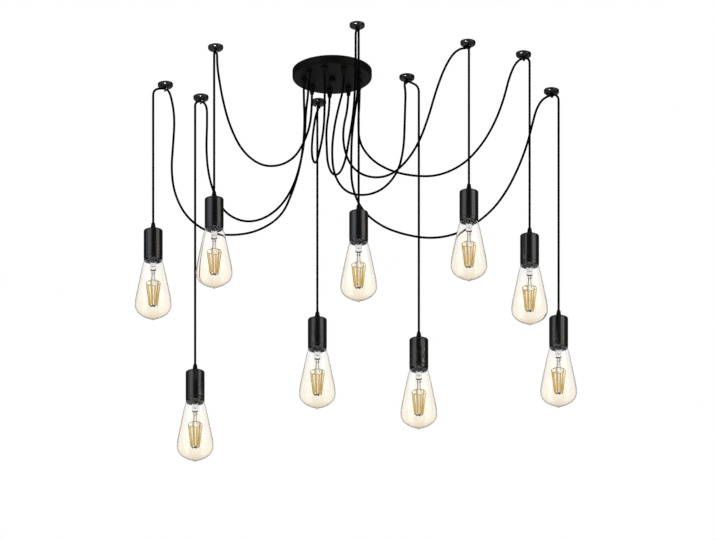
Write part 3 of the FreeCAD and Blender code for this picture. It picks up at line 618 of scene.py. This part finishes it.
gloss, tree, lacquer = finish_named("gloss black enamel")
where = object_spots(tree)
toned(tree, lacquer, uneven(tree, where, 260, 0, 1), (0.0006, 0.0006, 0.0006),
      (0.0024, 0.0024, 0.0026))
tree.links.new(uneven(tree, where, 160, 0.14, 0.2), lacquer.inputs["Roughness"])
raised(tree, lacquer, uneven(tree, where, 500, 0, 1), 0.00004, 0.25)
lacquer.inputs["Specular IOR Level"].default_value = 0.16

bowed = [(DISC_FLAT + (DISC_RADIUS - DISC_FLAT) * math.sin(a),
          -DISC_HEIGHT + (DISC_HEIGHT - DISC_RIM) * (1 - math.cos(a)))
         for a in (math.pi / 2 * k / 10 for k in range(11))]
disc = turned("ceiling_hooks_form", [(0, -DISC_HEIGHT)] + bowed
              + [(DISC_RADIUS, -0.0003), (DISC_RADIUS - 0.0003, 0), (SCREW_RADIUS, 0),
                 (SCREW_RADIUS, -SCREW_DEPTH), (0, -SCREW_DEPTH)], sides=48)
low = HOOK_TOP - CORD_RADIUS - CORD_PLAY - HOOK_WIRE
bend = [Vector((0, HOOK_BOWL, -DISC_HEIGHT + into)) for into in (0.001, -0.0006)]
bend += [Vector((0, HOOK_BOWL * math.cos(a), low + HOOK_BOWL - HOOK_BOWL * math.sin(a)))
         for a in (HOOK_TURN * k / 14 for k in range(15))]
wire = sheathed_tube("hook_wire", bend, HOOK_WIRE, sides=14)
disc.data = joined("ceiling_hook", ((disc, gloss), (wire, gloss)))
bpy.data.objects.remove(wire)

tree, given, made = node_tree("hooks on the ceiling", [
    ("Hook", "NodeSocketObject", None), ("Finish", "NodeSocketMaterial", None)])
turn = step(tree, "GeometryNodeInputNamedAttribute", Name="over")
spin = step(tree, "ShaderNodeCombineXYZ", Z=turn.outputs["Attribute"])
chosen = step(tree, "GeometryNodeObjectInfo", Object=given.outputs["Hook"])
copies = step(tree, "GeometryNodeInstanceOnPoints", Points=given.outputs["Shape"],
              Instance=chosen.outputs["Geometry"], Rotation=spin.outputs[0])
whole = step(tree, "GeometryNodeRealizeInstances", Geometry=copies.outputs["Instances"])
painted = step(tree, "GeometryNodeSetMaterial", Geometry=whole.outputs["Geometry"],
               Material=given.outputs["Finish"])
tree.links.new(painted.outputs["Geometry"], made.inputs["Shape"])

places = bpy.data.meshes.new("ceiling_hooks")
places.from_pydata([hook_spot(lamp) for lamp in LAMPS.values()], [], [])
turns = places.attributes.new("over", "FLOAT", "POINT")
for mark, lamp in zip(turns.data, LAMPS.values()):
    mark.value = math.radians(lamp["over"])
hooks = grown(placed("ceiling_hooks_all", places), tree, Hook=disc, Finish=gloss)
bpy.data.objects.remove(disc)
glossy_pieces.objects.link(hooks)
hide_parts("ceiling_hooks")
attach(hooks, "ceiling_set")

# ---------------------------------------------------------------- socket cups
# Nine straight socket cups in satin black enamel, spun from 1 mm steel, with a fine
# line pressed in above the mouth and one below the top. A slotted black nylon grip,
# screwed into the top, holds the cord.
CUP_RADIUS, CUP_HEIGHT, CUP_WALL, CUP_HOLE = 0.019, 0.065, 0.001, 0.0052
LIP_LINE, TOP_LINE, LINE_DEPTH = 0.006, 0.003, 0.0006


def softened(outline, radius, steps=3):
    """An outline of radius and height whose corners are rounded a little."""
    smooth = [outline[0]]
    for before, at, after in zip(outline, outline[1:], outline[2:]):
        a, b, c = Vector(before), Vector(at), Vector(after)
        trim = min(radius, (a - b).length * 0.45, (c - b).length * 0.45)
        start, end = b + (a - b).normalized() * trim, b + (c - b).normalized() * trim
        for k in range(steps + 1):
            t = k / steps
            spot = start.lerp(b, t).lerp(b.lerp(end, t), t)
            smooth.append((spot.x, spot.y))
    smooth.append(outline[-1])
    return smooth


cup_paint, tree, coat = finish_named("satin black socket enamel")
where = object_spots(tree)
toned(tree, coat, uneven(tree, where, 60, 0, 1), (0.0015, 0.0015, 0.0016), (0.003, 0.003, 0.0031))
tree.links.new(uneven(tree, where, 150, 0.21, 0.27), coat.inputs["Roughness"])
raised(tree, coat, uneven(tree, where, 1100, 0, 1, 2.0), 0.00002, 0.25)

r, h, w = CUP_RADIUS, CUP_HEIGHT, CUP_WALL
cup_outline = softened([
    (CUP_HOLE, h - w), (r - w, h - w), (r - w, 0), (r - 0.0003, 0),
    (r - 0.0003, LIP_LINE - 0.0003), (r - LINE_DEPTH, LIP_LINE), (r, LIP_LINE + 0.0004),
    (r, h - TOP_LINE - 0.0004), (r - 0.0004, h - TOP_LINE), (r, h - TOP_LINE + 0.0004),
    (r, h), (CUP_HOLE, h)], radius=0.0009, steps=4)
finger = grown(grip_quarter("socket_grip", True), all_round, Count=4, Circle=0.0,
               First_angle=math.radians(12), Finish=nylon)
finger.data.transform(Matrix.Translation((0, 0, h + GRIP_LENGTH)))
for number, lamp in LAMPS.items():
    cup = turned(f"socket_{number}", list(reversed(cup_outline)), sides=96, sharp=35)
    cup.data = joined(f"cup_{number}", ((cup, cup_paint), (finger, nylon)))
    cup.data.transform(Matrix.Translation(hang_spot(lamp, lamp["cup_top"] / 1000 + h)))
    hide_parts(f"socket_cup_{number}")
    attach(cup, f"pendant_{number}")
bpy.data.objects.remove(finger)

# ---------------------------------------------------------------- lamp holders
# Inside each cup, out of sight: a black phenolic holder with a brass screw shell and
# a sprung centre contact.
phenolic, tree, block = finish_named("black phenolic")
where = object_spots(tree)
toned(tree, block, uneven(tree, where, 130, 0, 1, 5.0), (0.009, 0.008, 0.007),
      (0.018, 0.016, 0.014))
tree.links.new(uneven(tree, where, 210, 0.35, 0.5), block.inputs["Roughness"])
raised(tree, block, uneven(tree, where, 900, 0, 1), 0.00004, 0.4)
for number in LAMPS:
    repainted(f"lamp_holder_{number}", phenolic)

# ---------------------------------------------------------------- bulb glass
# Nine long pear bulbs of clear glass, 0.9 mm thick, with a thin amber coating inside
# that stops short of the socket. The glass is drawn to a small tip at the bottom, and
# its throat is sealed into the screw cap.
GLASS_WALL, BULB_LENGTH = 0.0009, 0.1305  # the length that shows below the cup


def bowed_run(start, end, radius, steps):
    """Points along an arc that bulges to the right of the way, or left if negative."""
    a, b = Vector(start), Vector(end)
    along = b - a
    half = along.length / 2
    depth = math.sqrt(radius * radius - half * half)
    side = 1 if radius > 0 else -1
    right = Vector((along.y, -along.x)).normalized()
    centre = (a + b) / 2 - right * depth * side
    first = math.atan2(a.y - centre.y, a.x - centre.x)
    last = math.atan2(b.y - centre.y, b.x - centre.x)
    if side > 0 and last < first:
        last += 2 * math.pi
    if side < 0 and last > first:
        last -= 2 * math.pi
    return [(centre.x + abs(radius) * math.cos(first + (last - first) * k / steps),
             centre.y + abs(radius) * math.sin(first + (last - first) * k / steps))
            for k in range(1, steps + 1)]


def bulb_tip(lamp):
    """The lowest point of a lamp's bulb."""
    return hang_spot(lamp, lamp["cup_top"] / 1000 + CUP_HEIGHT + BULB_LENGTH)


# The outline from the tip up, in millimetres: the end of each arc, its radius (0 for a
# straight run, negative where it is hollow) and how many faces it gets.
glass_line = [(0, 0)]
for end, radius, steps in (((3.4, 2.0012), 3.889, 5), ((7, 5), -6.487, 5),
                           ((29, 17.5), 66.43, 12), ((36.5, 34.5), 21.493, 12),
                           ((34.2, 55), 128.7, 8), ((22.5, 115.2), 0, 16),
                           ((13.3, 138.5), 68.42, 10)):
    if radius:
        glass_line += bowed_run(glass_line[-1], end, radius, steps)
    else:
        a, b = Vector(glass_line[-1]), Vector(end)
        glass_line += [tuple(a.lerp(b, k / steps)) for k in range(1, steps + 1)]
glass_line = [(x / 1000, y / 1000) for x, y in glass_line]
inner_line = []
for k, spot in enumerate(glass_line):
    ahead = (Vector(glass_line[min(k + 1, len(glass_line) - 1)])
             - Vector(glass_line[max(k - 1, 0)])).normalized()
    inward = Vector((-ahead.y, ahead.x)) if k else Vector((0, 1))
    inner_line.append((max(spot[0] + inward.x * GLASS_WALL, 0), spot[1] + inward.y * GLASS_WALL))
inner_line[0] = (0, inner_line[0][1])
glass_outline = glass_line + list(reversed(inner_line))
depths = [height / BULB_LENGTH for _, height in glass_outline]

amber, tree, pane = finish_named("clear amber glass")
pane.inputs["Transmission Weight"].default_value = 1.0
pane.inputs["IOR"].default_value = 1.32
pane.inputs["Roughness"].default_value = 0.0
level = tree.nodes.new("ShaderNodeAttribute")
level.attribute_name = "depth"
tint = tree.nodes.new("ShaderNodeValToRGB")
stops = tint.color_ramp.elements
stops[0].position, stops[0].color = 0.0, (0.76, 0.68, 0.54, 1)
stops[1].position, stops[1].color = 1.0, (0.94, 0.95, 0.955, 1)
for position, colour in ((0.04, (0.87, 0.8, 0.68, 1)), (0.09, (0.95, 0.905, 0.81, 1)),
                         (0.16, (0.985, 0.945, 0.865, 1)), (0.35, (0.999, 0.965, 0.905, 1)),
                         (0.8, (1.0, 0.97, 0.922, 1)), (0.9, (0.965, 0.97, 0.972, 1))):
    stops.new(position).color = colour
tree.links.new(level.outputs["Fac"], tint.inputs["Fac"])


def painted_edge_shade(tree, shader, colour, rim, start):
    """Painted shade: darker glass where it is seen edge-on, as the way through is longer."""
    slant = tree.nodes.new("ShaderNodeLayerWeight")
    spread = tree.nodes.new("ShaderNodeMapRange")
    spread.interpolation_type = "SMOOTHSTEP"
    spread.inputs["From Min"].default_value = start
    spread.inputs["From Max"].default_value = 1.0
    tree.links.new(slant.outputs["Facing"], spread.inputs["Value"])
    edge = tree.nodes.new("ShaderNodeMix")
    edge.data_type = "RGBA"
    ends = {socket.identifier: socket for socket in edge.inputs}
    if isinstance(colour, tuple):
        ends["A_Color"].default_value = colour
    else:
        tree.links.new(colour, ends["A_Color"])
    ends["B_Color"].default_value = rim
    tree.links.new(spread.outputs["Result"], ends["Factor_Float"])
    made = next(socket for socket in edge.outputs if socket.identifier == "Result_Color")
    tree.links.new(made, shader.inputs["Base Color"])


# Painted shade: the bulb glass is painted dark brown where it is seen edge-on.
painted_edge_shade(tree, pane, tint.outputs["Color"], (0.18, 0.155, 0.125, 1), start=0.57)
where = object_spots(tree)
raised(tree, pane, uneven(tree, where, 12, 0, 1, 1.0), 0.0001, 0.1)

for number, lamp in LAMPS.items():
    glass = turned(f"glass_{number}", glass_outline, sides=96, sharp=60, marks=depths)
    glass.data.materials.append(amber)
    glass.data.transform(Matrix.Translation(bulb_tip(lamp)))
    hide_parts(f"bulb_glass_{number}")
    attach(glass, f"bulb_{number}")

# ---------------------------------------------------------------- bulb core
# The inside of each bulb, all held by the nickel screw cap: a clear glass stem pinched
# round four lead wires, a glass rod with a steel bead at its end, and six yellow
# filament strips that spread from the bead up to a wire hoop. Thin dark bars along the
# strips' edges are painted shade, and the strips' faint glow is painted light.
CAP_RADIUS, STEM_RADIUS, ROD_RADIUS, BEAD_RADIUS = 0.0132, 0.0062, 0.0014, 0.0016
RING_RADIUS, FOOT_RADIUS, STRIP_WIDTH, STRIP_THICK = 0.0141, 0.0078, 0.0032, 0.0022
RING_AT, FOOT_AT = BULB_LENGTH - 0.048, BULB_LENGTH - 0.098
CAGE_TURN, LEADS_TURN = math.radians(14), math.radians(40)
EDGE_SHADE_RADIUS, ARM_WIRE, HOOP_WIRE, LEAD_WIRE, PINCH_WIRE = 0.00026, 0.0007, 0.0005, 0.0004, 0.0012
STEM_TOP, STEM_WALL = 0.0079, 0.0009

nickel, tree, cap_metal = finish_named("nickel screw cap")
where = object_spots(tree)
toned(tree, cap_metal, uneven(tree, where, 220, 0, 1), (0.5, 0.49, 0.46), (0.68, 0.67, 0.64))
tree.links.new(uneven(tree, where, 300, 0.22, 0.4), cap_metal.inputs["Roughness"])
cap_metal.inputs["Metallic"].default_value = 1.0

stem_glass, tree, stem_pane = finish_named("clear stem glass")
stem_pane.inputs["Transmission Weight"].default_value = 1.0
# Painted shade: the stem glass is painted dark where it is seen edge-on.
painted_edge_shade(tree, stem_pane, (0.9, 0.9, 0.9, 1), (0.2, 0.17, 0.15, 1), start=0.4)
stem_pane.inputs["IOR"].default_value = 1.32
where = object_spots(tree)
tree.links.new(uneven(tree, where, 100, 0.02, 0.06), stem_pane.inputs["Roughness"])

steel, tree, wire_metal = finish_named("support wire")
where = object_spots(tree)
toned(tree, wire_metal, uneven(tree, where, 500, 0, 1), (0.05, 0.036, 0.022), (0.1, 0.075, 0.048))
tree.links.new(uneven(tree, where, 500, 0.3, 0.5), wire_metal.inputs["Roughness"])
wire_metal.inputs["Metallic"].default_value = 0.5

phosphor_with_painted_glow, tree, yellow = finish_named("filament phosphor")
where = object_spots(tree)
toned(tree, yellow, uneven(tree, where, 700, 0, 1), (0.14, 0.1, 0.028), (0.21, 0.15, 0.042))
yellow.inputs["Roughness"].default_value = 0.7
# Painted light: the strips glow faintly, in place of the studio light that the glass keeps off
# them.
yellow.inputs["Emission Color"].default_value = (0.56, 0.39, 0.105, 1)
yellow.inputs["Emission Strength"].default_value = 0.85

ridges = [(CAP_RADIUS - (0.0009 if k % 2 else 0), 0.011 + 0.0018 * k) for k in range(9)]
cap_outline = softened([(0.0118, 0.0078), (CAP_RADIUS - 0.0006, 0.0085),
                        (CAP_RADIUS - 0.0002, 0.0095)] + ridges
                       + [(0.0122, 0.0275), (0.0095, 0.03), (0.0085, 0.0305),
                          (0.0045, 0.0335), (0.0043, 0.0348), (0.0035, 0.035)], radius=0.0008)
cap_outline = [(0, 0.0078)] + cap_outline + [(0, 0.035)]
pinch = softened([(STEM_RADIUS, STEM_TOP), (STEM_RADIUS, -0.021), (STEM_RADIUS * 0.98, -0.0245),
                  (STEM_RADIUS * 0.8, -0.0275), (STEM_RADIUS * 0.3, -0.029)],
                 radius=0.003, steps=4)
hollow = [(STEM_RADIUS - STEM_WALL, STEM_TOP), (STEM_RADIUS - STEM_WALL, -0.010),
          (STEM_RADIUS * 0.55, -0.0145), (0.0013, -0.0155), (0, -0.0157)]
stem_outline = [(0, -0.0292)] + list(reversed(pinch)) + hollow


def bar(name, spots, radius, sides):
    """A round bar or wire through some points; two points get one more between them."""
    spots = [Vector(spot) for spot in spots]
    if len(spots) == 2:
        spots.insert(1, spots[0].lerp(spots[1], 0.5))
    return sheathed_tube(name, spots, radius, sides)


def caged(piece, finish):
    """Six copies of a piece round the bulb's axis."""
    return grown(piece, all_round, Count=6, Circle=0.0, First_angle=CAGE_TURN, Finish=finish)


strip = bar("filament_strip", [(FOOT_RADIUS, 0, FOOT_AT + 0.002),
                               (RING_RADIUS, 0, RING_AT - 0.002)], STRIP_WIDTH / 2, sides=16)
for vert in strip.data.vertices:
    middle = FOOT_RADIUS + ((RING_RADIUS - FOOT_RADIUS) * (vert.co.z - FOOT_AT - 0.002)
                            / (RING_AT - FOOT_AT - 0.004))
    across, out = vert.co.y * 2 / STRIP_WIDTH, (vert.co.x - middle) * 2 / STRIP_WIDTH
    vert.co.x = middle + math.copysign(min(abs(out), 1.0) ** 0.5, out) * STRIP_THICK / 2
    vert.co.y = math.copysign(min(abs(across), 1.0) ** 0.5, across) * STRIP_WIDTH / 2
strip = caged(strip, phosphor_with_painted_glow)
# Painted shade: thin dark bars along the edges of each strip stand in for the shade between the
# strips.
edge_shade_bars = []
for side in (-1, 1):
    out, across = STRIP_THICK * 0.42, STRIP_WIDTH * 0.42 * side
    edge_shade_bars.append(caged(bar(f"strip_edge_{side}", [(FOOT_RADIUS + out, across, FOOT_AT + 0.001),
                                                  (RING_RADIUS + out, across, RING_AT - 0.001)],
                           EDGE_SHADE_RADIUS, sides=6), steel))
arm = caged(bar("filament_arm", [
    (0.0008, 0, FOOT_AT - 0.0006), (0.004, 0, FOOT_AT - 0.0012),
    (FOOT_RADIUS - 0.0002, 0, FOOT_AT - 0.0004), (FOOT_RADIUS, 0, FOOT_AT + 0.003)],
    ARM_WIRE, sides=8), steel)
ring = bar("filament_hoop", [on_circle(360 * k / 48, RING_RADIUS, RING_AT - 0.001)
                             for k in range(49)], HOOP_WIRE, sides=8)
lead = bar("lead_wire", [
    (0.0026, 0, BULB_LENGTH - 0.0235), (0.0032, 0, BULB_LENGTH - 0.032),
    (0.0046, 0, RING_AT + 0.0035), (0.0062, 0, RING_AT - 0.0008),
    (RING_RADIUS, 0, RING_AT - 0.001)], LEAD_WIRE, sides=8)
lead = grown(lead, all_round, Count=4, Circle=0.0, First_angle=LEADS_TURN, Finish=steel)
rod = bar("centre_rod", [(0, 0, BULB_LENGTH - 0.0288), (0, 0, FOOT_AT - 0.001)], ROD_RADIUS,
          sides=16)
bead = turned("foot_bead", [
    (BEAD_RADIUS * math.sin(a), FOOT_AT - 0.0008 - BEAD_RADIUS * math.cos(a))
    for a in (math.pi * k / 8 for k in range(9))], sides=16)
cap = turned("cap_form", cap_outline, sides=64)
stem = turned("stem_form", stem_outline, sides=32)
pinch_seal = bar("pinch_form", [
    (0.0047 * math.sin(a), 0, BULB_LENGTH - 0.0188 - 0.0034 * math.cos(a))
    for a in (math.radians(-75 + 15 * k) for k in range(11))], PINCH_WIRE, sides=10)
for piece in (cap, stem):
    piece.data.transform(Matrix.Translation((0, 0, BULB_LENGTH)))

inside = ((cap, nickel), (stem, stem_glass), (rod, stem_glass), (bead, steel),
          (pinch_seal, steel), (ring, steel), (lead, steel), (arm, steel), (edge_shade_bars[0], steel),
          (edge_shade_bars[1], steel), (strip, phosphor_with_painted_glow))
core_mesh = joined("core_form", inside)
for piece, finish in inside:
    bpy.data.objects.remove(piece)
for number, lamp in LAMPS.items():
    mesh = core_mesh.copy()
    mesh.transform(Matrix.Translation(bulb_tip(lamp)))
    core = placed(f"core_{number}", mesh)
    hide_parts(f"bulb_core_{number}")
    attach(core, f"bulb_{number}")
